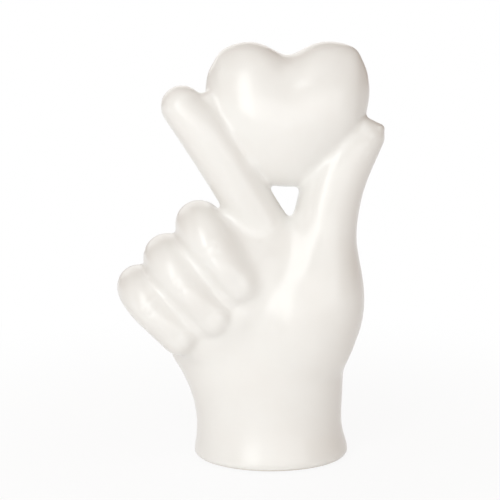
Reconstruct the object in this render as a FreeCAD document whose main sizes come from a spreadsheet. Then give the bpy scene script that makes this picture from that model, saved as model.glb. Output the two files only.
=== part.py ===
"""A glazed ceramic hand that holds a heart between its thumb and index finger.

The hollow castings are luted together: a palm with its wrist, an index finger, a thumb, three folded
fingers and the heart. A floor disc closes the wrist and carries a felt pad.

Millimetres and degrees, +Z up. X runs across the palm towards the thumb, and -Y is the palm side.
The origin is the middle of the felt pad's underside.
"""
import FreeCAD, Part
import os

V = FreeCAD.Vector
INTO = V(0, 1, 0)
UP = V(0, 0, 1)

QUARTER_TURN = 90
HALF_TURN = 180

# Driving dimensions: alias, value, what it is.
SIZES = [
    ("wall", 4.5, "thickness of a slip-cast wall"),
    ("foot_breadth", 75.4, "wrist across, at the foot"),
    ("foot_depth", 64, "wrist front to back, at the foot"),
    ("foot_height", 1.5, "foot's rim below the hand's own form"),
    ("foot_round", 2.4, "rounded edge of the foot"),
    ("wrist_breadth", 72, "wrist across, at its narrowest"),
    ("wrist_depth", 57, "wrist front to back, at its narrowest"),
    ("palm_height", 104, "wrist's lower end to the crown of the palm"),
    ("palm_breadth", 82, "palm across its middle"),
    ("palm_depth", 48, "palm front to back at its middle"),
    ("palm_angle", 48, "how far the knuckle row leans from level"),
    ("thumb_height", 132, "thumb form, from inside the wrist to its tip"),
    ("thumb_breadth", 30, "thumb across, below the heart"),
    ("ball_breadth", 44.5, "ball of the thumb across"),
    ("thumb_angle", 33, "how far the thumb's end leans outwards"),
    ("index_length", 107.5, "index form, from inside the palm to the centre of its tip"),
    ("index_breadth", 24.4, "index finger across at its root"),
    ("index_tip_breadth", 20, "index finger across its tip"),
    ("index_angle", 31, "how far the index finger leans away from the thumb"),
    ("index_tilt_angle", 4.5, "how far the index finger leans to the front"),
    ("middle_breadth", 22.2, "middle finger across its fold"),
    ("ring_breadth", 22, "ring finger across its fold"),
    ("little_breadth", 20, "little finger across its fold"),
    ("middle_tip_run", 22, "middle finger, from its fold to the centre of its tip"),
    ("ring_tip_run", 23.8, "ring finger, the same"),
    ("little_tip_run", 18.4, "little finger, the same"),
    ("middle_angle", 38, "how far the middle finger leans"),
    ("ring_angle", 41, "how far the ring finger leans"),
    ("little_angle", 43.5, "how far the little finger leans"),
    ("row_angle", 46.3, "how far the row of folds leans from level"),
    ("fold_spread", 23.6, "distance between the two layers of a folded finger"),
    ("heart_breadth", 77.6, "heart across its lobes"),
    ("heart_height", 68.6, "heart from its point to the top of its lobes"),
    ("heart_depth", 44, "heart front to back"),
    ("breather_bore", 4, "hole that lets air out of a closed hollow"),
    ("floor_thickness", 6, "floor disc"),
    ("floor_recess", 1.5, "floor's underside above the foot's rim"),
    ("floor_ledge", 1.2, "ledge inside the wrist that the floor is pushed up against"),
    ("floor_gap", 0.15, "slip joint round the floor"),
    ("vent_bore", 12, "kiln vent through the floor and the felt"),
    ("felt_thickness", 2, "felt pad"),
    ("felt_margin", 2, "felt's edge inside the floor's edge"),
    ("felt_vent_margin", 2, "felt's hole outside the kiln vent"),
]

# The floor's underside lies on the felt, and the foot's rim stands below it by the recess.
RIM = "(sizes.felt_thickness - sizes.floor_recess)"
WRIST_END = f"({RIM} + sizes.foot_height)"
FLOOR_TOP = "(sizes.felt_thickness + sizes.floor_thickness)"

# The thumb begins inside the wrist, above its lower end by a share of the palm's height.
THUMB_START_SHARE = 0.284
THUMB_START = f"({WRIST_END} + sizes.palm_height * {THUMB_START_SHARE})"

# Foot sections: rise and inset as shares of the foot's round.
FOOT_SHARES = [(0, 1), (0.29, 0.29), (1, 0)]

# Wrist sections: rise as a share of the palm's height, then side, half breadth and half depth as
# shares of the wrist's breadth and depth, and lean as a share of the palm's lean.
WRIST_SHARES = [
    (0.15, -0.016, 0.488, 0.508, 0),
    (0.26, -0.026, 0.503, 0.493, 0),
    (0.38, -0.047, 0.534, 0.484, 0.08),
]

# Palm sections: the same, of the palm's breadth and depth, with how far they stand back.
PALM_SHARES = [
    (0.495, -0.087, 0.476, 0.542, 0.25, 0),
    (0.62, -0.146, 0.488, 0.5, 0.5, 0),
    (0.735, -0.207, 0.476, 0.44, 0.73, 0.03),
    (0.832, -0.262, 0.415, 0.30, 0.9, 0.06),
    (0.908, -0.305, 0.317, 0.177, 1, 0.08),
]

# The hollow leaves out the last two and ends in one of its own.
PALM_HOLLOW_SHARES = PALM_SHARES[:3] + [(0.82, -0.29, 0.33, 0.29, 0.88, 0.06)]

# Thumb sections: rise as a share of the thumb's height, side of the wrist's breadth, radius of the
# ball's and of the thumb's breadth, how far they stand in front as a share of the thumb's breadth,
# and lean as a share of the thumb's lean.
THUMB_SHARES = [
    (0, 0.194, 0.45, 0, 0, 0),
    (0.136, 0.222, 0.47, 0, 0.067, 0),
    (0.235, 0.278, 0.503, 0, 0.133, 0),
    (0.348, 0.312, 0.497, 0, 0.2, 0),
    (0.47, 0.326, 0.28, 0.235, 0.2, 0),
    (0.576, 0.333, 0.11, 0.393, 0.167, 0),
    (0.697, 0.369, 0, 0.507, 0.133, 0.15),
    (0.78, 0.406, 0, 0.493, 0.133, 0.36),
    (0.871, 0.479, 0, 0.46, 0.1, 0.67),
    (0.924, 0.55, 0, 0.397, 0.1, 0.82),
    (0.964, 0.624, 0, 0.305, 0.1, 1),
]
THUMB_DOME_SHARE = 0.235
THUMB_HOLLOW_COUNTS = (1, 10)
THUMB_PARTING_SHARES = (0.667, 0.36, 0.13)

# Index sections: rise as a share of its length, radius as shares of its breadth and its tip's, and
# how far they stand outwards as a share of its breadth.
INDEX_SHARES = [
    (0, 0.5, 0, 0),
    (0.3, 0.5, 0, 0),
    (0.6, 0.5, 0, 0),
    (0.82, 0.5, 0, 0.01),
    (1, 0, 0.5, 0.125),
]
INDEX_START_SHARES = (0.193, 0.774)
INDEX_BACK_SHARE = -0.115
INDEX_PARTING_SHARE = 0.43

# Folded fingers, from the index finger outwards: name, and the step along the row of folds as a
# share of the two fingers' mean breadth.
FINGERS = [("middle", 0), ("ring", 0.975), ("little", 0.92)]
FOLD_SHARES = (-0.335, 1.01, -0.318)
TIP_BREADTH_SHARE = 0.93
WEB_BREADTH_SHARE = 0.9
REAR_RUN_SHARE = 1.3

# Heart sections, from its middle outwards: side as a share of half its breadth, centre above its
# point and half height as shares of its height, and half depth as a share of its depth.
HEART_SHARES = [
    (0, 0.440, 0.456, 0.500),
    (0.196, 0.470, 0.472, 0.490),
    (0.486, 0.541, 0.440, 0.452),
    (0.778, 0.591, 0.337, 0.341),
    (0.87, 0.621, 0.254, 0.258),
    (0.935, 0.640, 0.175, 0.177),
    (0.985, 0.647, 0.085, 0.086),
    (0.997, 0.649, 0.038, 0.038),
]
HEART_HOLLOW_COUNT = 5
HEART_PLACE_SHARES = (0.103, 0.7768)
HEART_BREATHER_SHARES = (0.826, 0.44, 0.1)
HEART_BREATHER_ANGLE = 45

# How far a cut runs past what it cuts, as a share of its depth.
OVERRUN_SHARE = 1.5

doc = FreeCAD.newDocument("hand_with_heart")
sheet = doc.addObject("Spreadsheet::Sheet", "sizes")
for row, (alias, value, meaning) in enumerate(SIZES, start=1):
    sheet.set(f"A{row}", str(value))
    sheet.setAlias(f"A{row}", alias)
    sheet.set(f"B{row}", meaning)
doc.recompute()


def bind(part, **formulas):
    """Binds properties to formulas of the sheet's cells. A double underline stands for a dot."""
    for name, formula in formulas.items():
        part.setExpression(name.replace("__", "."), formula)
    return part


def spot(x="0", y="0", z="0", lean="0", tilt="0", roll="0"):
    """A place, a lean about the front-to-back axis, and before it a tilt about the side-to-side axis
    and a roll about the upright one. A positive lean is towards the thumb, and a positive tilt is
    towards the front."""
    turns = (f"rotation(vector(0; 1; 0); {lean}) * rotation(vector(1; 0; 0); {tilt})"
             f" * rotation(vector(0; 0; 1); {roll})")
    return f"placement(vector({x}; {y}; {z}); {turns})"


def place(part, *spots):
    """Binds a part's placement. Each spot after the first is measured in the one before."""
    return bind(part, Placement=" * ".join(spots))


def primitive(kind, name, **sizes):
    return bind(doc.addObject(f"Part::{kind}", name), **sizes)


def boolean(kind, name, **operands):
    """A Part boolean. Its faces stay apart, since merging them spoils the lofted ones."""
    result = doc.addObject(f"Part::{kind}", name)
    result.Refine = False
    for operand, value in operands.items():
        setattr(result, operand, value)
    return result


def fuse(name, parts):
    return boolean("MultiFuse", name, Shapes=parts)


def common(name, base, tool):
    return boolean("Common", name, Base=base, Tool=tool)


def cut(name, base, *tools):
    """Base less each of the tools in turn. The last cut bears the name."""
    for count, tool in enumerate(tools, start=1):
        step_name = name if count == len(tools) else f"{name}_less_{tool.Name}"
        base = boolean("Cut", step_name, Base=base, Tool=tool)
    return base


def loft(name, sections):
    skin = doc.addObject("Part::Loft", name)
    skin.Sections = sections
    skin.Solid = True
    return skin


def round_section(name, radius, **where):
    return place(primitive("Circle", name, Radius=radius), spot(**where))


def oval_section(name, half_across, half_deep, **where):
    """An ellipse. An ellipse's own long side may lie either way, and half a roll takes the loft's
    seam away from the other limbs."""
    oval = primitive(
        "Ellipse", name, MajorRadius=f"max({half_across}; {half_deep})",
        MinorRadius=f"min({half_across}; {half_deep})")
    roll = f"({half_across} >= {half_deep} ? {HALF_TURN} : {QUARTER_TURN})"
    return place(oval, spot(roll=roll, **where))


def foot_section(name, inset, bottom):
    """An oval of the foot's outline, drawn in."""
    return oval_section(name, f"sizes.foot_breadth / 2 - ({inset})",
                        f"sizes.foot_depth / 2 - ({inset})", z=bottom)


def oval_plate(name, inset, thickness, bottom):
    """An upright oval slab, drawn in from the foot's outline."""
    slab = doc.addObject("Part::Extrusion", name)
    slab.Base = foot_section(f"{name}_outline", inset, bottom)
    slab.DirMode = "Custom"
    slab.Dir = UP
    slab.Solid = True
    return bind(slab, LengthFwd=thickness)


def foot_form(name):
    """The foot's rounded edge."""
    return loft(name, [
        foot_section(f"{name}_{count}", f"sizes.foot_round * {draw}",
                     f"{RIM} + sizes.foot_round * {rise}")
        for count, (rise, draw) in enumerate(FOOT_SHARES)])


def palm_form(name, inset="0"):
    """The wrist and palm, or their hollow when there is an inset. The wrist is oval and upright, and
    the palm's sections lean with the row of knuckles."""
    if inset == "0":
        sections = [foot_section(f"{name}_foot", "0", f"{RIM} + sizes.foot_round")]
        palm_rows = PALM_SHARES
    else:
        sections = [foot_section(f"{name}_foot", f"{inset} + sizes.floor_ledge",
                                 f"{FLOOR_TOP} - sizes.floor_thickness / 2")]
        palm_rows = PALM_HOLLOW_SHARES
    for rise, side, breadth, depth, lean in WRIST_SHARES:
        sections.append(oval_section(
            f"{name}_wrist_{len(sections)}",
            f"sizes.wrist_breadth * {breadth} - {inset}",
            f"sizes.wrist_depth * {depth} - {inset}",
            x=f"sizes.wrist_breadth * {side}",
            z=f"{WRIST_END} + sizes.palm_height * {rise}",
            lean=f"-sizes.palm_angle * {lean}"))
    for rise, side, breadth, depth, lean, back in palm_rows:
        sections.append(oval_section(
            f"{name}_palm_{len(sections)}",
            f"sizes.palm_breadth * {breadth} - {inset}",
            f"sizes.palm_depth * {depth} - {inset}",
            x=f"sizes.palm_breadth * {side}",
            y=f"sizes.palm_depth * {back}",
            z=f"{WRIST_END} + sizes.palm_height * {rise}",
            lean=f"-sizes.palm_angle * {lean}"))
    return loft(name, sections)


def thumb_spot(rise, side, front, lean="0"):
    """A place on the thumb's middle line, from shares of the sizes that it follows."""
    return dict(x=f"sizes.wrist_breadth * {side}",
                y=f"-sizes.thumb_breadth * {front}",
                z=f"{THUMB_START} + sizes.thumb_height * {rise}",
                lean=lean)


def thumb_form(name, inset="0"):
    """The thumb from its ball inside the wrist to its tip, round all the way, with half an ellipsoid
    on its end."""
    rows = THUMB_SHARES if inset == "0" else THUMB_SHARES[slice(*THUMB_HOLLOW_COUNTS)]
    sections = []
    for rise, side, ball, slim, front, lean in rows:
        sections.append(round_section(
            f"{name}_{len(sections)}",
            f"sizes.ball_breadth * {ball} + sizes.thumb_breadth * {slim} - {inset}",
            **thumb_spot(rise, side, front, f"sizes.thumb_angle * {lean}")))
    limb = loft(f"{name}_limb", sections)
    if inset != "0":
        return limb
    rise, side, ball, slim, front, lean = rows[-1]
    dome = primitive("Ellipsoid", f"{name}_dome",
                     Radius1=f"sizes.thumb_breadth * {THUMB_DOME_SHARE}",
                     Radius2=f"sizes.thumb_breadth * {slim}",
                     Radius3=f"sizes.thumb_breadth * {slim}")
    dome.Angle1 = 0
    place(dome, spot(**thumb_spot(rise, side, front, f"sizes.thumb_angle * {lean}")))
    return fuse(name, [limb, dome])


def index_spot():
    """The index finger's root inside the palm, and its lean and tilt."""
    side, rise = INDEX_START_SHARES
    return spot(
        x=f"sizes.palm_breadth * {side}",
        y=f"sizes.index_breadth * {INDEX_BACK_SHARE}",
        z=f"{WRIST_END} + sizes.palm_height * {rise}",
        lean="-sizes.index_angle",
        tilt="sizes.index_tilt_angle")


def index_tip(name, inset="0"):
    """The half ball on the index finger's end, in its upright frame."""
    tip = primitive("Sphere", name, Radius=f"(sizes.index_tip_breadth / 2 - {inset})")
    tip.Angle1 = 0
    return place(tip, spot(x=f"-sizes.index_breadth * {INDEX_SHARES[-1][-1]}", z="sizes.index_length"))


def index_form(name, inset="0"):
    """The index finger, even to near its round tip, or its hollow. It is made upright and leaned."""
    sections = []
    for rise, breadth, tip_breadth, out in INDEX_SHARES:
        sections.append(round_section(
            f"{name}_{len(sections)}",
            f"sizes.index_breadth * {breadth} + sizes.index_tip_breadth * {tip_breadth} - {inset}",
            x=f"-sizes.index_breadth * {out}",
            z=f"sizes.index_length * {rise}",
            roll=HALF_TURN))
    limb = loft(f"{name}_limb", sections)
    return place(fuse(name, [limb, index_tip(f"{name}_tip", inset)]), index_spot())


def folded_form(finger, name, where, inset="0"):
    """A finger folded over: up the back of the hand, round the fold and down onto the palm."""
    radius = f"(sizes.{finger}_breadth / 2 - {inset})"
    tip_radius = f"(sizes.{finger}_breadth / 2 * {TIP_BREADTH_SHARE} - {inset})"
    spread = "sizes.fold_spread / 2"
    run = f"sizes.{finger}_tip_run"
    rear_run = f"(sizes.fold_spread * {REAR_RUN_SHARE})"
    fold = primitive("Torus", f"{name}_fold", Radius1=spread, Radius2=radius)
    fold.Angle3 = HALF_TURN
    fold.Placement.Rotation = FreeCAD.Rotation(INTO, QUARTER_TURN) * FreeCAD.Rotation(UP, QUARTER_TURN)
    front = primitive("Cone", f"{name}_front", Radius1=tip_radius, Radius2=radius, Height=run)
    tip = primitive("Sphere", f"{name}_tip", Radius=tip_radius)
    rear = primitive("Cylinder", f"{name}_rear", Radius=radius, Height=rear_run)
    for piece in (front, tip):
        place(piece, spot(y=f"-{spread}", z=f"-{run}"))
    place(rear, spot(y=spread, z=f"-{rear_run}"))
    pieces = [fold, front, tip, rear]
    if inset == "0":
        web_breadth = f"(sizes.{finger}_breadth * {WEB_BREADTH_SHARE})"
        web = primitive("Box", f"{name}_web", Length=web_breadth, Width="sizes.fold_spread", Height=run)
        place(web, spot(x=f"-{web_breadth} / 2", y=f"-{spread}", z=f"-{run}"))
        crown = primitive("Cylinder", f"{name}_crown", Radius=spread, Height=web_breadth)
        place(crown, spot(x=f"-{web_breadth} / 2", lean=QUARTER_TURN))
        pieces += [web, crown]
    return place(fuse(name, pieces), where)


def heart_form(name, inset="0"):
    """The heart, as upright oval sections from one side to the other: deepest at the middle, with
    a dip between its lobes above and a point below."""
    side, rise = HEART_PLACE_SHARES
    rows = HEART_SHARES if inset == "0" else HEART_SHARES[:HEART_HOLLOW_COUNT]
    both = [(-offset, *rest) for offset, *rest in reversed(rows[1:])] + rows
    sections = []
    for offset, centre, half, depth in both:
        sections.append(oval_section(
            f"{name}_{len(sections)}",
            f"sizes.heart_height * {half} - {inset}",
            f"sizes.heart_depth * {depth} - {inset}",
            x=f"sizes.wrist_breadth * {side} + (sizes.heart_breadth / 2 - {inset}) * {offset}",
            z=f"{THUMB_START} + sizes.thumb_height * {rise} + sizes.heart_height * {centre}",
            lean=QUARTER_TURN))
    return loft(name, sections)


def beyond(name, breadth, height, *spots):
    """A box that stands on a parting plane and takes in all of a finger beyond it."""
    box = primitive("Box", name, Length=breadth, Width=breadth, Height=height)
    return place(box, *spots, spot(x=f"-{breadth} / 2", y=f"-{breadth} / 2"))


# The three limbs that make the hand's body, as solids and as hollows.
palm_outer = fuse("palm_outer", [foot_form("foot_outer"), palm_form("palm_outer_limb")])
palm_hollow = palm_form("palm_hollow", "sizes.wall")
thumb_outer = thumb_form("thumb_outer")
thumb_hollow = thumb_form("thumb_hollow", "sizes.wall")
index_outer = index_form("index_outer")
index_hollow = index_form("index_hollow", "sizes.wall")
hand_core = fuse("hand_core", [palm_outer, thumb_outer, index_outer])

# The thumb and the index finger are cast apart and luted to the palm's stumps, on flat partings.
thumb_beyond = beyond(
    "thumb_beyond", "(sizes.ball_breadth * 2)", "sizes.thumb_height",
    spot(**thumb_spot(*THUMB_PARTING_SHARES)))
index_beyond = beyond(
    "index_beyond", "(sizes.index_breadth * 2)", "sizes.index_length",
    index_spot(), spot(z=f"sizes.index_length * {INDEX_PARTING_SHARE}"))
thumb_stump = cut("thumb_stump", thumb_outer, thumb_beyond)
thumb_free = common("thumb_free", thumb_outer, thumb_beyond)
index_stump = cut("index_stump", index_outer, index_beyond)
index_free = common("index_free", index_outer, index_beyond)

# Heart, coped to the thumb and the index finger. A breather runs from its hollow into the thumb's.
heart_outer = heart_form("heart_outer")
heart_hollow = heart_form("heart_hollow", "sizes.wall")
heart_breather = primitive(
    "Cylinder", "heart_breather", Radius="sizes.breather_bore / 2", Height="sizes.thumb_breadth")
place(heart_breather, spot(**thumb_spot(*HEART_BREATHER_SHARES)), spot(lean=f"-{HEART_BREATHER_ANGLE}"))
heart = cut("heart", heart_outer, thumb_outer, index_outer, heart_hollow, heart_breather)
thumb = cut("thumb", thumb_free, palm_outer, index_outer, thumb_hollow, heart_breather)
index_finger = cut("index_finger", index_free, palm_outer, index_hollow)

# Folded fingers, each coped to the palm and to the finger before it. Their hollows breathe into
# the palm's.
side, rise, back = FOLD_SHARES
folded = []
breathers = []
steps = "0"
before = None
for finger, step_share in FINGERS:
    if before:
        steps += f" + (sizes.{before}_breadth + sizes.{finger}_breadth) / 2 * {step_share}"
    where = spot(
        x=f"sizes.palm_breadth * {side} - ({steps}) * cos(sizes.row_angle)",
        y=f"sizes.fold_spread * {back}",
        z=f"{WRIST_END} + sizes.palm_height * {rise} - ({steps}) * sin(sizes.row_angle)",
        lean=f"-sizes.{finger}_angle")
    outer = folded_form(finger, f"{finger}_outer", where)
    hollow = folded_form(finger, f"{finger}_hollow", where, "sizes.wall")
    neighbours = [hand_core] if before is None else [hand_core, neighbour]
    folded.append(cut(f"{finger}_finger", outer, *neighbours, hollow))
    run = f"(sizes.fold_spread * {REAR_RUN_SHARE})"
    breather = primitive(
        "Cylinder", f"{finger}_breather", Radius="sizes.breather_bore / 2", Height=run)
    place(breather, where, spot(y="sizes.fold_spread / 2", z=f"-{run}"))
    breathers.append(breather)
    neighbour = outer
    before = finger

# Floor, pushed up inside the foot against a ledge, with a vent for the kiln, and the felt under it.
floor_seat = oval_plate("floor_seat", "sizes.wall", f"{FLOOR_TOP}", "0")
vent = primitive(
    "Cylinder", "vent", Radius="sizes.vent_bore / 2", Height=f"{FLOOR_TOP} * {OVERRUN_SHARE}")
felt_vent = primitive(
    "Cylinder", "felt_vent", Radius="sizes.vent_bore / 2 + sizes.felt_vent_margin",
    Height=f"{FLOOR_TOP} * {OVERRUN_SHARE}")
for bore in (vent, felt_vent):
    place(bore, spot(z=f"-{FLOOR_TOP} * {OVERRUN_SHARE - 1}"))
floor_disc = oval_plate(
    "floor_disc", "sizes.wall + sizes.floor_gap", "sizes.floor_thickness", "sizes.felt_thickness")
felt_disc = oval_plate(
    "felt_disc", "sizes.wall + sizes.felt_margin", "sizes.felt_thickness", "0")
base_floor = cut("base_floor", floor_disc, vent)
felt_pad = cut("felt_pad", felt_disc, felt_vent)

# Palm, with its wrist and the stumps of the thumb and the index finger.
palm_body = fuse("palm_body", [palm_outer, thumb_stump, index_stump])
palm_shell = cut(
    "palm_shell", palm_body, palm_hollow, thumb_hollow, index_hollow, floor_seat, *breathers)

doc.recompute()
parts = [palm_shell, thumb, index_finger, *folded, heart, base_floor, felt_pad]
for item in doc.Objects:
    if "Invalid" in item.State or "Error" in item.State:
        raise RuntimeError(f"{item.Label} failed: {item.State}")
for part in parts:
    if part.Shape.isNull() or not part.Shape.isValid():
        raise RuntimeError(f"{part.Label} has no valid shape")
    if len(part.Shape.Solids) != 1:
        raise RuntimeError(f"{part.Label} is in {len(part.Shape.Solids)} pieces")

os.makedirs("parts", exist_ok=True)
for part in parts:
    part.Label = part.Name
    part.Shape.exportStep(f"parts/{part.Label}.step")
    print(f"{part.Label}: {part.Shape.Volume:.0f} mm3")
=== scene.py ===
"""A glazed ceramic hand that holds a heart, dressed for the camera.

The hollow castings of the hand are luted together and glazed as one, so they first get one common
skin. It is made round copies of the castings, with nails and with clay smeared over the joints, and
is then smoothed, swollen a little, glazed and wrinkled. Last it is parted again into one piece for
each casting. Sizes are in metres, but in millimetres in the tables of places. +Z is up, and -Y is
the palm side.
"""

import math

import bmesh
import bpy
from mathutils import Matrix, Vector
from mathutils.bvhtree import BVHTree


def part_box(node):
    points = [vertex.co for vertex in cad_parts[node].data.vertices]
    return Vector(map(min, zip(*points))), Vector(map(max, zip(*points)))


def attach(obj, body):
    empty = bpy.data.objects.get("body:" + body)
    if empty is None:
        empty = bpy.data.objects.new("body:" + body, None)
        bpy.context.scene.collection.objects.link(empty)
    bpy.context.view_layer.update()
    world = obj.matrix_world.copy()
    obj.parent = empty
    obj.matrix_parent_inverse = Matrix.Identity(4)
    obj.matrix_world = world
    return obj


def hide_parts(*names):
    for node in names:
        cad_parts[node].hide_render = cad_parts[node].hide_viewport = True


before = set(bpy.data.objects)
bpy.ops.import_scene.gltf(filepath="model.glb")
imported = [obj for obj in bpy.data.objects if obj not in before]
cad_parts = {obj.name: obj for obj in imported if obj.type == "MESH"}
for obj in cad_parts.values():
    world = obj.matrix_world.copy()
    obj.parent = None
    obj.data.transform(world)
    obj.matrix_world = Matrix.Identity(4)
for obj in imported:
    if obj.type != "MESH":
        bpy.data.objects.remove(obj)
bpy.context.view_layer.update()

MM = 0.001

# The castings, and the glazed pieces that stand for them.
CASTINGS = {
    "palm_shell": "palm_glazed",
    "thumb": "thumb_glazed",
    "index_finger": "index_finger_glazed",
    "middle_finger": "middle_finger_glazed",
    "ring_finger": "ring_finger_glazed",
    "little_finger": "little_finger_glazed",
    "heart": "heart_glazed",
}

# The photograph is 500 pixels square, seen from a little above the table with a long lens.
PHOTO_WIDTH = 500
CAMERA_ELEVATION = math.radians(12)
CAMERA_DISTANCE = 900 * MM
CAMERA_LENS = 135
CAMERA_SENSOR = 36
CAMERA_TARGET = Vector((-10.25, 0, 102)) * MM

# The common skin: its grid, the wall that each glazed piece gets, and how finely the rods and balls
# in it are made. Rods are made one unit wide and then scaled, and balls of clay follow each other by
# a share of their radius.
VOXEL = 1 * MM
MERGE = 0.02 * MM
WALL_SHOWN = 2.5 * MM
PLUG_ROOM = 1 * MM
PLUG_SEGMENTS = 96
NAIL_SEGMENTS = 48
UNIT_RADIUS = 0.5
BALL_SUBDIVISIONS = 4
BALL_STEP_SHARE = 0.2

# Rounds of smoothing: the wide blends over the joints, the thick glaze, its settling, the wrinkles.
BLEND_ROUNDS = 300
GLAZE_ROUNDS = 16
SETTLING_ROUNDS = 2
WRINKLE_ROUNDS = 1
SMOOTH_FACTOR = 0.5

# The glaze fills creases fully, but wears raised edges by this share only.
GLAZE_EDGE_SHARE = 0.35

# A face with this many neighbours on another casting joins it, and all faces are asked this often.
STRAY_SIDES = 3
STRAY_ROUNDS = 2

# Clay smeared into the joints: runs of places, each with the radius of the clay there.
SMEARS = [
    # From the index finger's root down past the tip of the middle finger.
    [((-23.5, -9, 118), 6), ((-17, -10, 109), 8), ((-3, -15, 92), 9)],
    # The heart on the index finger.
    [((-37, -10, 174.6), 4.5), ((-31, -8, 174.3), 4.5)],
    [((-29.5, -9, 175), 4.8), ((-8.5, -11, 147), 4.2)],
    # Round the tips of the middle and ring fingers.
    [((-4, -14.5, 102), 9), ((-3, -15, 88), 9.5), ((-7, -16, 80), 9.5), ((-15, -17.5, 73), 9.5)],
    [((-15, -18, 73), 9.5), ((-19, -18, 65), 9)],
    # Down the middle of the palm.
    [((-3, -15, 88), 9.5), ((-3, -15.5, 72), 10), ((-8, -15, 60), 10)],
    # Under the tip of the little finger, out to the palm's edge.
    [((-19, -17, 65), 9), ((-32, -16, 58), 8.5), ((-35.5, -12, 55), 7), ((-39.5, -10, 53), 6)],
    # The ridge from the thumb down into its ball, and the web beside it.
    [((27, -8, 122), 8.5), ((24, -12, 107), 10), ((18, -14, 92), 13)],
    [((15.5, -8, 118), 6.5), ((17, -12, 103), 10.5)],
    # The side of the wrist, under the ball of the thumb.
    [((27.3, 0, 51), 9.3), ((25, 0, 36), 8.9)],
    # The fronts of the folded fingers, the middle finger's first.
    [((-27.5, -19.3, 107), 10.9), ((-14.2, -21, 90.5), 10)],
    [((-42.4, -19.3, 91.4), 10.8), ((-27.1, -21, 74.2), 9.9)],
    [((-55.7, -19.3, 77.5), 9.8), ((-43.3, -20.6, 64.9), 9.1)],
]

# The palm, filled out with three large balls: the ball of the thumb, the top of the palm and the
# front of the wrist. Centres and radii.
PALM_FILLS = [
    ((14, -5, 70), (28.5, 26, 38)),
    ((3, -8, 97), (18, 12.5, 22)),
    ((-6, -6, 46), (27, 21.2, 43)),
]

# Valleys between the folded fingers: the fold's middle and the lower end, both across and up, and the
# fingers' lean in degrees. The clay runs up the front, where it is thicker, and at these turns over
# the fold's crest to behind it.
VALLEYS = [
    ((-34.9, 99.25), (-20.3, 81.6), 39.5),
    ((-49.0, 84.5), (-34.9, 68.8), 42.25),
]
FOLD_AXIS_Y = -7.5
FOLD_RADIUS = 11.8
VALLEY_CREST = 4.8
VALLEY_FRONT = 6.8
VALLEY_TURNS = (0, 25, 50, 75, 100, 125)

# Nails of the thumb and the index finger: middle, along, outwards, and length, width and thickness.
NAILS = [
    ((48.6, -2, 156.25), (0.349, 0, 0.937), (0.937, 0, -0.349), (15, 13, 6)),
    ((-38.6, -3.6, 169.8), (-0.5, -0.1, 0.86), (-0.25, 0.97, 0), (15, 12, 6)),
]

# Where the clay was smoothed wide over a joint: the place, how far round it, and how strongly.
BLENDED_PLACES = [
    # The web and the root of the index finger.
    ((15, -17, 112), 17, 0.8),
    ((4, -17, 113), 16, 1),
    ((-7, -17, 111), 20, 1),
    ((-15, -15, 117), 13, 0.8),
    ((-12, -18, 106), 12, 0.6),
    # The top of the palm.
    ((18, -17, 100), 18, 1),
    ((12, -20, 100), 17, 0.8),
    ((6, -22, 100), 18, 1),
    ((-3, -22, 96), 17, 1),
    # The ball of the thumb and the middle of the palm.
    ((9, -24, 86), 27, 1),
    ((8, -25, 66), 27, 1),
    ((18, -23, 70), 20, 1),
    ((27, -20, 56), 20, 1),
    ((-2, -27, 78), 15, 1),
    # The front of the wrist.
    ((8, -24, 44), 20, 1),
    ((-8, -25, 54), 20, 1),
    ((-8, -26, 34), 20, 1),
    # Under the fingertips, out to the palm's edge and round it to the back.
    ((-11.5, -23, 70), 11, 1),
    ((-14, -24, 62), 14, 0.8),
    ((-28, -22, 55), 14, 0.8),
    ((-38, -16, 54), 12, 0.8),
    ((-42, -8, 50), 15, 0.6),
    ((-38, 8, 52), 17, 0.8),
    # Round the thumb's side of the wrist to the back.
    ((36, -6, 49), 17, 0.8),
    ((36, 8, 49), 20, 1),
    ((26, 20, 56), 20, 1),
    ((16, 22, 72), 20, 0.8),
    # The heart on the index finger.
    ((-18, -16, 160), 9, 0.25),
    ((-8, -18, 146), 9, 0.25),
]

# Where the soft shape is fuller or slimmer than the castings: the place, how far round it, the swell.
SWELLS = [
    # The heart's lobes.
    ((35, 0, 197), 18, (0.9, 0, 1.6)),
    ((-17, 0, 199), 14, (-0.5, 0, 0.8)),
    # The thumb's side of the wrist.
    ((36, 0, 57), 14, (-1.3, 0, 0)),
    ((34, 0, 22), 14, (0.6, 0, 0)),
    # The fronts of the folded fingers.
    ((-25.5, -30, 98), 13, (0, -2, 0)),
    ((-38.5, -30, 85), 13, (0, -2, 0)),
    ((-52, -29, 73), 12, (0, -1.2, 0)),
]

# Wrinkles and nail edges that the front shows: photograph pixels in turn, half width and depth.
FRONT_GROOVES = [
    # Two wrinkles over a joint of the middle, the ring and the little finger.
    ([(203, 253), (214, 244)], 1.5, 0.5),
    ([(206, 263), (218, 253)], 1.4, 0.45),
    ([(175, 282), (187, 272)], 1.5, 0.5),
    ([(180, 293), (192, 283)], 1.4, 0.45),
    ([(143, 308), (154, 297)], 1.5, 0.5),
    ([(149, 316), (160, 306)], 1.4, 0.45),
    # The crease at the root of the index finger.
    ([(262, 240), (271, 231), (278, 222)], 2, 0.35),
    # The nails of the middle, the ring and the little finger.
    ([(233, 301), (236, 294), (243, 291), (250, 293)], 1.3, 0.16),
    ([(207, 320), (209, 314), (216, 311), (224, 313)], 1.3, 0.22),
    ([(176, 340), (179, 334), (187, 331), (195, 334)], 1.3, 0.22),
]

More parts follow.
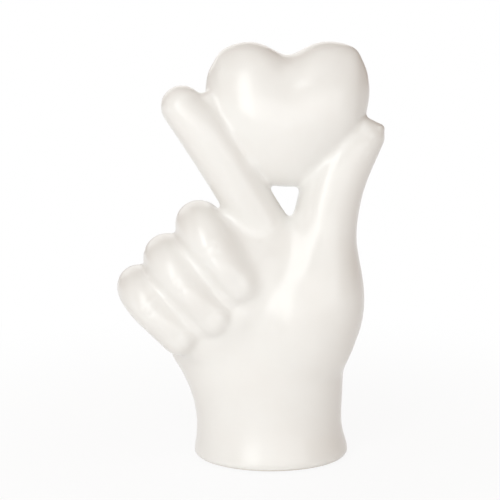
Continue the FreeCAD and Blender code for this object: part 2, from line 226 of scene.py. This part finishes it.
# Wrinkles over the joints at the back: a place on the finger's line, along it, its radius, the rises
# of the wrinkles along it and their depth. Each runs over these turns about the line, in degrees.
BACK_WRINKLES = [
    ((-26.8, -9.3, 153.5), (-0.5135, -0.0785, 0.8546), 12.2, (-2.4, 0, 2.4), 0.35),
    ((-7.5, -6.4, 121.3), (-0.5135, -0.0785, 0.8546), 12.2, (-3, 0, 3), 0.4),
    ((33, -4, 138), (0.45, 0, 0.89), 12.5, (-2.6, 0, 2.6), 0.4),
]
BACK_WRINKLE_TURNS = (-40, -20, 0, 20, 40)
BACK_WRINKLE_HALF_WIDTH = 1.3


def camera_axes():
    """The camera's place, and its right, up and forward directions."""
    back = Vector((0, -math.cos(CAMERA_ELEVATION), math.sin(CAMERA_ELEVATION)))
    right = Vector((1, 0, 0))
    return CAMERA_TARGET + back * CAMERA_DISTANCE, right, back.cross(right), -back


def sight_line(column, row):
    """The camera's place and the direction through a pixel of the photograph."""
    place, right, up, forward = camera_axes()
    step = CAMERA_SENSOR / CAMERA_LENS / PHOTO_WIDTH
    half = PHOTO_WIDTH / 2
    return place, (forward + right * (column - half) * step - up * (row - half) * step).normalized()


def link(name, bm):
    """A new object from a bmesh, which is freed."""
    mesh = bpy.data.meshes.new(name)
    bm.to_mesh(mesh)
    bm.free()
    obj = bpy.data.objects.new(name, mesh)
    bpy.context.scene.collection.objects.link(obj)
    return obj


def merged_castings():
    """Copies of the castings in one bmesh, and the casting that each face comes from."""
    bm = bmesh.new()
    owners = []
    for node in CASTINGS:
        bm.from_mesh(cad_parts[node].data)
        owners += [node] * (len(bm.faces) - len(owners))
    return bm, owners


def add_plug(bm):
    """Closes the wrist with an oval plug, just above the underside of the floor disc."""
    low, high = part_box("base_floor")
    plug = bmesh.ops.create_cone(
        bm, cap_ends=True, segments=PLUG_SEGMENTS, radius1=UNIT_RADIUS, radius2=UNIT_RADIUS,
        depth=high.z - low.z - PLUG_ROOM)
    bmesh.ops.scale(
        bm, verts=plug["verts"],
        vec=(high.x - low.x + 2 * PLUG_ROOM, high.y - low.y + 2 * PLUG_ROOM, 1))
    bmesh.ops.translate(bm, verts=plug["verts"], vec=(0, 0, (low.z + high.z + PLUG_ROOM) / 2))


def new_ball():
    """A ball of radius 1, copied for each lump of clay."""
    bm = bmesh.new()
    bmesh.ops.create_icosphere(bm, subdivisions=BALL_SUBDIVISIONS, radius=1)
    ball = bpy.data.meshes.new("clay_ball")
    bm.to_mesh(ball)
    bm.free()
    return ball


def add_ball(bm, ball, centre, radii):
    """A lump of clay: a copy of the ball, stretched to three radii."""
    lump = ball.copy()
    lump.transform(Matrix.LocRotScale(centre, None, radii))
    bm.from_mesh(lump)
    bpy.data.meshes.remove(lump)


def add_smear(bm, ball, run):
    """A sausage of clay: balls close together along a run of places with their radii."""
    for (start, start_radius), (end, end_radius) in zip(run, run[1:]):
        start, end = Vector(start) * MM, Vector(end) * MM
        radii = start_radius * MM, end_radius * MM
        count = max(1, math.ceil((end - start).length / (min(radii) * BALL_STEP_SHARE)))
        for index in range(count + 1):
            share = index / count
            radius = radii[0] + (radii[1] - radii[0]) * share
            add_ball(bm, ball, start.lerp(end, share), (radius, radius, radius))


def add_valley(bm, ball, fold, low, lean):
    """Clay between two folded fingers, up their front and over their fold."""
    lean = math.radians(lean)
    path = []
    for turn in VALLEY_TURNS:
        rise = FOLD_RADIUS * math.sin(math.radians(turn))
        path.append((fold[0] - rise * math.sin(lean),
                     FOLD_AXIS_Y - FOLD_RADIUS * math.cos(math.radians(turn)),
                     fold[1] + rise * math.cos(lean)))
    front = (low[0], path[0][1], low[1])
    radii = [VALLEY_FRONT, (VALLEY_FRONT + VALLEY_CREST) / 2] + [VALLEY_CREST] * (len(path) - 2)
    add_smear(bm, ball, [(front, VALLEY_FRONT), *zip(path, radii)])


def add_nail(bm, middle, along, outwards, size):
    """A nail: a short oval rod, sunk into the fingertip but for its outer face and free edge."""
    along = Vector(along).normalized()
    across = along.cross(Vector(outwards)).normalized()
    outwards = across.cross(along)
    length, width, thickness = size
    turned = Matrix((outwards * thickness, across * width, along * length)).transposed() * MM
    bmesh.ops.create_cone(
        bm, cap_ends=True, segments=NAIL_SEGMENTS, radius1=UNIT_RADIUS, radius2=UNIT_RADIUS, depth=1,
        matrix=Matrix.Translation(Vector(middle) * MM) @ turned.to_4x4())


def finished(obj):
    """An object's mesh after its modifiers, as a bmesh. The object is removed."""
    shown = obj.evaluated_get(bpy.context.evaluated_depsgraph_get())
    bm = bmesh.new()
    bm.from_mesh(shown.to_mesh())
    shown.to_mesh_clear()
    bpy.data.objects.remove(obj)
    return bm


def voxel_skin(obj):
    """The outer and inner skins of an object's shells, as a bmesh of even squares. The object is
    removed."""
    remesh = obj.modifiers.new("skin", "REMESH")
    remesh.mode = "VOXEL"
    remesh.voxel_size = VOXEL
    return finished(obj)


def keep_largest_island(bm):
    """Deletes every loose island but the one with the most vertices, which is the outer skin."""
    unseen = set(bm.verts)
    largest = set()
    while unseen:
        front = [unseen.pop()]
        island = set(front)
        while front:
            for edge in front.pop().link_edges:
                for vert in edge.verts:
                    if vert in unseen:
                        unseen.discard(vert)
                        island.add(vert)
                        front.append(vert)
        if len(island) > len(largest):
            largest = island
    spare = [vert for vert in bm.verts if vert not in largest]
    bmesh.ops.delete(bm, geom=spare, context="VERTS")


def smooth(bm, rounds):
    """Moves every vertex towards the middle of its neighbours, several times over."""
    for _ in range(rounds):
        bmesh.ops.smooth_vert(
            bm, verts=bm.verts, factor=SMOOTH_FACTOR,
            use_axis_x=True, use_axis_y=True, use_axis_z=True)


def soft_share(away):
    """1 in the middle of a round place and 0 from its edge on, with no corner between."""
    return (1 + math.cos(math.pi * min(1, away))) / 2


def blend_joints(bm):
    """Smooths the clay over the joints, most in the middle of each place."""
    strengths = bm.verts.layers.deform.verify()
    for place, reach, strength in BLENDED_PLACES:
        centre = Vector(place) * MM
        for vert in bm.verts:
            away = (vert.co - centre).length / (reach * MM)
            if away < 1:
                held = vert[strengths].get(0, 0)
                vert[strengths][0] = max(held, strength * soft_share(away))
    skin = link("blended_skin", bm)
    skin.vertex_groups.new(name="blended")
    blend = skin.modifiers.new("blend", "SMOOTH")
    blend.iterations = BLEND_ROUNDS
    blend.vertex_group = "blended"
    return finished(skin)


def swell(bm):
    """Moves the skin a little where the real shape is fuller or slimmer."""
    for place, reach, push in SWELLS:
        centre, push = Vector(place) * MM, Vector(push) * MM
        for vert in bm.verts:
            away = (vert.co - centre).length / (reach * MM)
            if away < 1:
                vert.co += push * soft_share(away)


def glaze_over(bm):
    """Smooths the skin as a thick glaze does: creases fill, and raised edges are worn much less. The
    depth that the glaze fills, in millimetres, is kept for its colour."""
    pooled = bm.verts.layers.float.new("pooled")
    bm.normal_update()
    before = [(vert.co.copy(), vert.normal.copy()) for vert in bm.verts]
    smooth(bm, GLAZE_ROUNDS)
    for vert, (place, normal) in zip(bm.verts, before):
        rise = (vert.co - place).dot(normal)
        vert[pooled] = max(0, rise / MM)
        if rise < 0:
            vert.co -= normal * rise * (1 - GLAZE_EDGE_SHARE)
    smooth(bm, SETTLING_ROUNDS)
    bm.normal_update()


def press_groove(bm, places, half_width, depth):
    """Presses a rounded groove into the skin along a run of points, sampled twice in its half
    width."""
    step = half_width / 2
    spine = []
    for start, end in zip(places, places[1:]):
        count = max(1, round((end - start).length / step))
        spine += [start.lerp(end, index / count) for index in range(count + 1)]
    middle = sum(spine, Vector()) / len(spine)
    span = max((place - middle).length for place in spine) + half_width
    for vert in bm.verts:
        if (vert.co - middle).length < span:
            away = min((vert.co - place).length for place in spine) / half_width
            if away < 1:
                vert.co -= vert.normal * depth * soft_share(away)


def press_wrinkles(bm):
    """The wrinkles of the front, where the photograph shows them, and those of the back."""
    tree = BVHTree.FromBMesh(bm)
    for pixels, half_width, depth in FRONT_GROOVES:
        places = [tree.ray_cast(*sight_line(*pixel))[0] for pixel in pixels]
        press_groove(bm, places, half_width * MM, depth * MM)
    for middle, along, radius, rises, depth in BACK_WRINKLES:
        along = Vector(along).normalized()
        for rise in rises:
            places = []
            for turn in BACK_WRINKLE_TURNS:
                outwards = Matrix.Rotation(math.radians(turn), 3, along) @ Vector((0, 1, 0))
                place = Vector(middle) + along * rise + outwards * radius
                places.append(tree.find_nearest(place * MM)[0])
            press_groove(bm, places, BACK_WRINKLE_HALF_WIDTH * MM, depth * MM)


def face_owners(bm, tree, owners):
    """The casting that each face of the skin belongs to: the nearest, with stray faces given to the
    casting round them."""
    found = [owners[tree.find_nearest(face.calc_center_median())[2]] for face in bm.faces]
    for _ in range(STRAY_ROUNDS):
        settled = list(found)
        for face in bm.faces:
            around = [found[other.index] for edge in face.edges for other in edge.link_faces
                      if other is not face]
            for node in set(around):
                if around.count(node) >= STRAY_SIDES:
                    settled[face.index] = node
        found = settled
    return found


def glazed_skin():
    """The whole hand's skin, and the casting that each of its faces belongs to."""
    bm, owners = merged_castings()
    tree = BVHTree.FromBMesh(bm)
    bmesh.ops.remove_doubles(bm, verts=bm.verts, dist=MERGE)
    add_plug(bm)
    for nail in NAILS:
        add_nail(bm, *nail)
    ball = new_ball()
    for run in SMEARS:
        add_smear(bm, ball, run)
    for valley in VALLEYS:
        add_valley(bm, ball, *valley)
    for centre, radii in PALM_FILLS:
        add_ball(bm, ball, Vector(centre) * MM, Vector(radii) * MM)
    bpy.data.meshes.remove(ball)
    bm = voxel_skin(link("castings_copy", bm))
    keep_largest_island(bm)
    bm = blend_joints(bm)
    swell(bm)
    glaze_over(bm)
    press_wrinkles(bm)
    smooth(bm, WRINKLE_ROUNDS)
    bm.normal_update()
    facing = bm.verts.layers.float_vector.new("glaze_normal")
    for vert in bm.verts:
        vert[facing] = vert.normal
    bm.faces.ensure_lookup_table()
    bm.faces.index_update()
    return bm, face_owners(bm, tree, owners)


def part_skin(bm, face_nodes, node, name):
    """One casting's share of the skin, with a wall under it. Its normals are those of the whole skin,
    so the shading runs on over the joints."""
    share = bm.copy()
    share.faces.ensure_lookup_table()
    spare = [face for face, owner in zip(share.faces, face_nodes) if owner != node]
    bmesh.ops.delete(share, geom=spare, context="FACES")
    facing = share.verts.layers.float_vector["glaze_normal"]
    inner = bmesh.ops.extrude_face_region(share, geom=list(share.faces), use_keep_orig=True)["geom"]
    for vert in inner:
        if isinstance(vert, bmesh.types.BMVert):
            vert.co -= vert[facing] * WALL_SHOWN
            vert[facing] = -vert[facing]
    bmesh.ops.recalc_face_normals(share, faces=share.faces)
    normals = [vert[facing].copy() for vert in share.verts]
    for face in share.faces:
        face.smooth = True
    piece = link(name, share)
    piece.data.normals_split_custom_set_from_vertices(normals)
    return piece


# Materials.

GLAZE_WHITE = (0.907, 0.91, 0.892, 1)
GLAZE_THIN = (0.897, 0.894, 0.872, 1)
GLAZE_POOLED = (0.9, 0.885, 0.85, 1)
BARE_CLAY = (0.74, 0.69, 0.61, 1)
BARE_CLAY_DARK = (0.62, 0.565, 0.485, 1)
FELT_PALE = (0.62, 0.58, 0.53, 1)
FELT_DARK = (0.45, 0.41, 0.37, 1)
GLAZE_ROUGHNESS = 0.28
GLAZE_IOR = 1.5
GLAZE_COAT = 0.3
GLAZE_COAT_ROUGHNESS = 0.14
WIPED_ROUGHNESS = 0.75
FELT_SHEEN = 0.4
FELT_SHEEN_ROUGHNESS = 0.5
FELT_STRETCHES = ((1, 3, 1), (3, 1, 1))
FOOT_BARE_TOP = 1.2 * MM
FOOT_GLAZE_START = 1.9 * MM
BUMP_REACH = 0.3 * MM
NOISE_DETAIL_COARSE = 3
NOISE_DETAIL_FINE = 4


def add_node(tree, kind, inputs, **settings):
    """A node whose inputs are given by name or number, each a value or another node's socket."""
    made = tree.nodes.new(kind)
    for name, value in settings.items():
        setattr(made, name, value)
    for key, value in inputs.items():
        if isinstance(value, bpy.types.NodeSocket):
            tree.links.new(value, made.inputs[key])
        else:
            made.inputs[key].default_value = value
    return made


def ramp(tree, value, low, high, start=0, end=1):
    """A value that goes softly from start to end as another goes from low to high."""
    return add_node(
        tree, "ShaderNodeMapRange",
        {"Value": value, "From Min": low, "From Max": high, "To Min": start, "To Max": end},
        interpolation_type="SMOOTHSTEP").outputs["Result"]


def mixed_colour(tree, share, first, second):
    """The first colour where share is 0 and the second where it is 1. The node's two colour inputs
    share their names with its number inputs, so they go by their places."""
    mix = add_node(tree, "ShaderNodeMix", {0: share, 6: first, 7: second}, data_type="RGBA")
    return mix.outputs[2]


def mixed_number(tree, share, first, second):
    """The first number where share is 0 and the second where it is 1."""
    mix = add_node(tree, "ShaderNodeMix", {0: share, 2: first, 3: second}, data_type="FLOAT")
    return mix.outputs[0]


def clay_grain_group():
    """Coarse and fine noise on one surface: soft patches, scattered specks and a height."""
    tree = bpy.data.node_groups.new("clay_grain", "ShaderNodeTree")
    tree.interface.new_socket(name="Place", in_out="INPUT", socket_type="NodeSocketVector")
    for name in ("Patch Scale", "Grain Scale", "Speck Share"):
        tree.interface.new_socket(name=name, in_out="INPUT", socket_type="NodeSocketFloat")
    for name in ("Patches", "Specks", "Height"):
        tree.interface.new_socket(name=name, in_out="OUTPUT", socket_type="NodeSocketFloat")
    given = add_node(tree, "NodeGroupInput", {}).outputs
    patches = add_node(tree, "ShaderNodeTexNoise", {
        "Vector": given["Place"], "Scale": given["Patch Scale"], "Detail": NOISE_DETAIL_COARSE})
    fine = add_node(tree, "ShaderNodeTexNoise", {
        "Vector": given["Place"], "Scale": given["Grain Scale"], "Detail": NOISE_DETAIL_FINE})
    cells = add_node(tree, "ShaderNodeTexVoronoi", {
        "Vector": given["Place"], "Scale": given["Grain Scale"]})
    specks = add_node(tree, "ShaderNodeMath", {
        0: cells.outputs["Distance"], 1: given["Speck Share"]}, operation="LESS_THAN")
    add_node(tree, "NodeGroupOutput", {
        "Patches": patches.outputs["Fac"], "Specks": specks.outputs["Value"],
        "Height": fine.outputs["Fac"]})
    return tree


clay_grain = clay_grain_group()


def new_material(name):
    """A new material, its tree, its shader and the object's coordinates."""
    made = bpy.data.materials.new(name)
    made.use_nodes = True
    tree = made.node_tree
    place = add_node(tree, "ShaderNodeTexCoord", {}).outputs["Object"]
    return made, tree, tree.nodes["Principled BSDF"], place


def grain(tree, place, patch_scale, grain_scale, speck_share):
    """The grain's masks and height, at a material's own scales."""
    return add_node(tree, "ShaderNodeGroup", {
        "Place": place, "Patch Scale": patch_scale, "Grain Scale": grain_scale,
        "Speck Share": speck_share}, node_tree=clay_grain).outputs


def finish(tree, shader, colour, roughness, height, bump_strength):
    """Links a colour, a roughness and a bump to the shader."""
    bump = add_node(tree, "ShaderNodeBump", {
        "Strength": bump_strength, "Distance": BUMP_REACH, "Height": height}).outputs["Normal"]
    for socket, value in (("Base Color", colour), ("Roughness", roughness), ("Normal", bump)):
        tree.links.new(value, shader.inputs[socket])


def white_glaze():
    """Thick white glaze, a little warmer where it pools in creases, wiped off the foot's rim."""
    made, tree, shader, place = new_material("white_glaze")
    clay = grain(tree, place, patch_scale=45, grain_scale=700, speck_share=0.05)
    thin = ramp(tree, clay["Patches"], low=0.35, high=0.75, end=0.8)
    pooled = add_node(tree, "ShaderNodeAttribute", {}, attribute_name="pooled").outputs["Fac"]
    deep = ramp(tree, pooled, low=0.1, high=1.4, end=0.7)
    rise = add_node(tree, "ShaderNodeSeparateXYZ", {"Vector": place}).outputs["Z"]
    glazed = ramp(tree, rise, FOOT_BARE_TOP, FOOT_GLAZE_START)
    colour = mixed_colour(tree, thin, GLAZE_WHITE, GLAZE_THIN)
    colour = mixed_colour(tree, deep, colour, GLAZE_POOLED)
    colour = mixed_colour(tree, glazed, BARE_CLAY, colour)
    roughness = mixed_number(tree, glazed, WIPED_ROUGHNESS, GLAZE_ROUGHNESS)
    finish(tree, shader, colour, roughness, clay["Height"], bump_strength=0.05)
    shader.inputs["IOR"].default_value = GLAZE_IOR
    shader.inputs["Coat Weight"].default_value = GLAZE_COAT
    shader.inputs["Coat Roughness"].default_value = GLAZE_COAT_ROUGHNESS
    return made


def bare_clay():
    """Fired clay with no glaze: matt, speckled and slightly rough."""
    made, tree, shader, place = new_material("bare_clay")
    clay = grain(tree, place, patch_scale=70, grain_scale=1400, speck_share=0.22)
    darker = ramp(tree, clay["Patches"], low=0.3, high=0.7, end=0.7)
    specks = ramp(tree, clay["Specks"], low=0, high=1, end=0.35)
    roughness = ramp(tree, clay["Height"], low=0.3, high=0.7, start=0.7, end=0.9)
    colour = mixed_colour(tree, darker, BARE_CLAY, BARE_CLAY_DARK)
    colour = mixed_colour(tree, specks, colour, BARE_CLAY_DARK)
    finish(tree, shader, colour, roughness, clay["Height"], bump_strength=0.4)
    return made


def pressed_felt():
    """Short pressed felt: fibres that lie two ways, with a soft sheen."""
    made, tree, shader, place = new_material("pressed_felt")
    layers = []
    for stretch in FELT_STRETCHES:
        lying = add_node(tree, "ShaderNodeMapping", {"Vector": place, "Scale": stretch})
        layers.append(grain(
            tree, lying.outputs["Vector"], patch_scale=280, grain_scale=1600, speck_share=0.2))
    height = add_node(tree, "ShaderNodeMath", {
        0: layers[0]["Height"], 1: layers[1]["Height"]}, operation="ADD").outputs["Value"]
    colour = mixed_colour(tree, ramp(tree, height, low=0.7, high=1.3), FELT_DARK, FELT_PALE)
    roughness = ramp(tree, layers[0]["Patches"], low=0.3, high=0.7, start=0.85, end=1)
    finish(tree, shader, colour, roughness, height, bump_strength=0.7)
    shader.inputs["Sheen Weight"].default_value = FELT_SHEEN
    shader.inputs["Sheen Roughness"].default_value = FELT_SHEEN_ROUGHNESS
    return made


# Pieces.

FELT_SEGMENTS = 96
FELT_VENT = 16 * MM
FELT_SOFT_EDGE = 0.5 * MM
FELT_EDGE_SEGMENTS = 3
FELT_RINGS = 6
FELT_SHARP = math.radians(60)


def glazed_castings():
    """One glazed piece for each hollow casting."""
    bm, face_nodes = glazed_skin()
    glaze = white_glaze()
    for node, name in CASTINGS.items():
        piece = part_skin(bm, face_nodes, node, name)
        piece.data.materials.append(glaze)
        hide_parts(node)
        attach(piece, "root")
    bm.free()


def floor_disc():
    """The disc that closes the wrist, left unglazed."""
    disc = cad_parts["base_floor"]
    disc.data.materials.clear()
    disc.data.materials.append(bare_clay())


def felt_ring():
    """A die-cut oval ring with soft edges."""
    low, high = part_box("felt_pad")
    size = high - low
    bm = bmesh.new()
    rim = bmesh.ops.create_circle(
        bm, cap_ends=False, segments=FELT_SEGMENTS, radius=UNIT_RADIUS)["verts"]
    bmesh.ops.scale(bm, verts=rim, vec=(size.x, size.y, 1))
    bore = bmesh.ops.create_circle(
        bm, cap_ends=False, segments=FELT_SEGMENTS, radius=FELT_VENT / 2)["verts"]
    bmesh.ops.translate(bm, verts=rim + bore, vec=(0, 0, low.z))
    bmesh.ops.bridge_loops(bm, edges=list(bm.edges))
    spokes = [edge for edge in bm.edges if len(edge.link_faces) == 2]
    bmesh.ops.subdivide_edges(bm, edges=spokes, cuts=FELT_RINGS, use_grid_fill=False)
    raised = bmesh.ops.extrude_face_region(bm, geom=list(bm.faces))["geom"]
    upper = [part for part in raised if isinstance(part, bmesh.types.BMVert)]
    bmesh.ops.translate(bm, verts=upper, vec=(0, 0, size.z))
    bmesh.ops.recalc_face_normals(bm, faces=bm.faces)
    sharp = [edge for edge in bm.edges if edge.calc_face_angle(0) > FELT_SHARP]
    bmesh.ops.bevel(
        bm, geom=sharp, offset=FELT_SOFT_EDGE, segments=FELT_EDGE_SEGMENTS, profile=0.5,
        affect="EDGES", material=-1)
    for face in bm.faces:
        face.smooth = True
    felt = link("felt_cut", bm)
    felt.data.materials.append(pressed_felt())
    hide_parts("felt_pad")
    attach(felt, "root")


# Table, room, lamps and camera. The floor shows as plain white by a share near the object, and fully
# further off.

FLOOR_REACH = 4.0
FLOOR_PALE = (0.93, 0.93, 0.93, 1)
FLOOR_ROUGHNESS = 0.9
FLOOR_WHITE_NEAR = 0.9
FLOOR_WHITE_FAR = 1
FLOOR_NEAR = 60 * MM
FLOOR_FAR = 300 * MM
PURE_WHITE = (1, 1, 1, 1)
WHITE_STRENGTH = 1
LAMP_TONE = (0.94, 0.985, 1)
ROOM_TONE = (0.365, 0.297, 0.252, 1)


def seen_or_mirrored(tree):
    """1 for what is seen, straight or mirrored in the glaze, and 0 for light on the object."""
    paths = add_node(tree, "ShaderNodeLightPath", {}).outputs
    return add_node(tree, "ShaderNodeMath", {
        0: paths["Is Camera Ray"], 1: paths["Is Glossy Ray"]}, operation="MAXIMUM").outputs["Value"]


def add_mix(tree, share, first, second, output):
    """Mixes two shaders into the tree's output."""
    mix = add_node(tree, "ShaderNodeMixShader", {
        0: share, 1: first.outputs[0], 2: second.outputs[0]})
    tree.links.new(mix.outputs["Shader"], tree.nodes[output].inputs["Surface"])


def table_top():
    """A pale table. The camera sees it as white away from the object, and nearer it keeps the
    object's shadow."""
    bm = bmesh.new()
    bmesh.ops.create_grid(bm, x_segments=1, y_segments=1, size=FLOOR_REACH)
    ground = link("table_top", bm)
    made, tree, shader, place = new_material("table_pale")
    shader.inputs["Base Color"].default_value = FLOOR_PALE
    shader.inputs["Roughness"].default_value = FLOOR_ROUGHNESS
    away = add_node(tree, "ShaderNodeVectorMath", {0: place}, operation="LENGTH").outputs["Value"]
    whiteness = ramp(tree, away, FLOOR_NEAR, FLOOR_FAR, FLOOR_WHITE_NEAR, FLOOR_WHITE_FAR)
    share = add_node(tree, "ShaderNodeMath", {
        0: whiteness, 1: seen_or_mirrored(tree)}, operation="MULTIPLY").outputs["Value"]
    white = add_node(tree, "ShaderNodeEmission", {"Color": PURE_WHITE, "Strength": WHITE_STRENGTH})
    add_mix(tree, share, shader, white, "Material Output")
    ground.data.materials.append(made)


def studio_room():
    """White behind the object for the camera, and a warm dim room for the light."""
    world = bpy.data.worlds.new("studio")
    bpy.context.scene.world = world
    world.use_nodes = True
    tree = world.node_tree
    dim = tree.nodes["Background"]
    dim.inputs["Color"].default_value = ROOM_TONE
    white = add_node(tree, "ShaderNodeBackground", {"Color": PURE_WHITE, "Strength": WHITE_STRENGTH})
    seen = add_node(tree, "ShaderNodeLightPath", {}).outputs["Is Camera Ray"]
    add_mix(tree, seen, dim, white, "World Output")


def softbox(name, azimuth, elevation, distance, width, height, power):
    """A rectangular lamp that faces the middle of the object. Azimuth 0 is the camera's side, and
    positive azimuths are to its right."""
    lamp = bpy.data.lights.new(name, "AREA")
    lamp.shape = "RECTANGLE"
    lamp.size = width
    lamp.size_y = height
    lamp.energy = power
    lamp.color = LAMP_TONE
    obj = bpy.data.objects.new(name, lamp)
    bpy.context.scene.collection.objects.link(obj)
    turn, rise = math.radians(azimuth), math.radians(elevation)
    level = math.cos(rise)
    away = Vector((math.sin(turn) * level, -math.cos(turn) * level, math.sin(rise)))
    obj.location = CAMERA_TARGET + away * distance
    obj.rotation_mode = "QUATERNION"
    obj.rotation_quaternion = away.to_track_quat("Z", "Y")


def camera():
    """The camera, where the photograph was taken from."""
    lens = bpy.data.cameras.new("photograph")
    lens.lens = CAMERA_LENS
    lens.sensor_width = CAMERA_SENSOR
    obj = bpy.data.objects.new("photograph", lens)
    bpy.context.scene.collection.objects.link(obj)
    place, _, _, forward = camera_axes()
    obj.location = place
    obj.rotation_mode = "QUATERNION"
    obj.rotation_quaternion = forward.to_track_quat("-Z", "Y")
    bpy.context.scene.camera = obj


glazed_castings()
floor_disc()
felt_ring()
table_top()
studio_room()
softbox("tall_softbox", azimuth=-26, elevation=20, distance=1.0, width=0.36, height=1.1, power=4.15)
softbox("left_fill", azimuth=-80, elevation=15, distance=1.1, width=0.8, height=0.9, power=0.45)
softbox("top_fill", azimuth=0, elevation=75, distance=1.1, width=0.9, height=0.9, power=1.3)
softbox("front_fill", azimuth=14, elevation=5, distance=1.8, width=2.4, height=1.0, power=11)
softbox("back_fill", azimuth=-165, elevation=25, distance=1.7, width=1.8, height=1.2, power=8)
camera()
bpy.context.scene.view_settings.view_transform = "Standard"
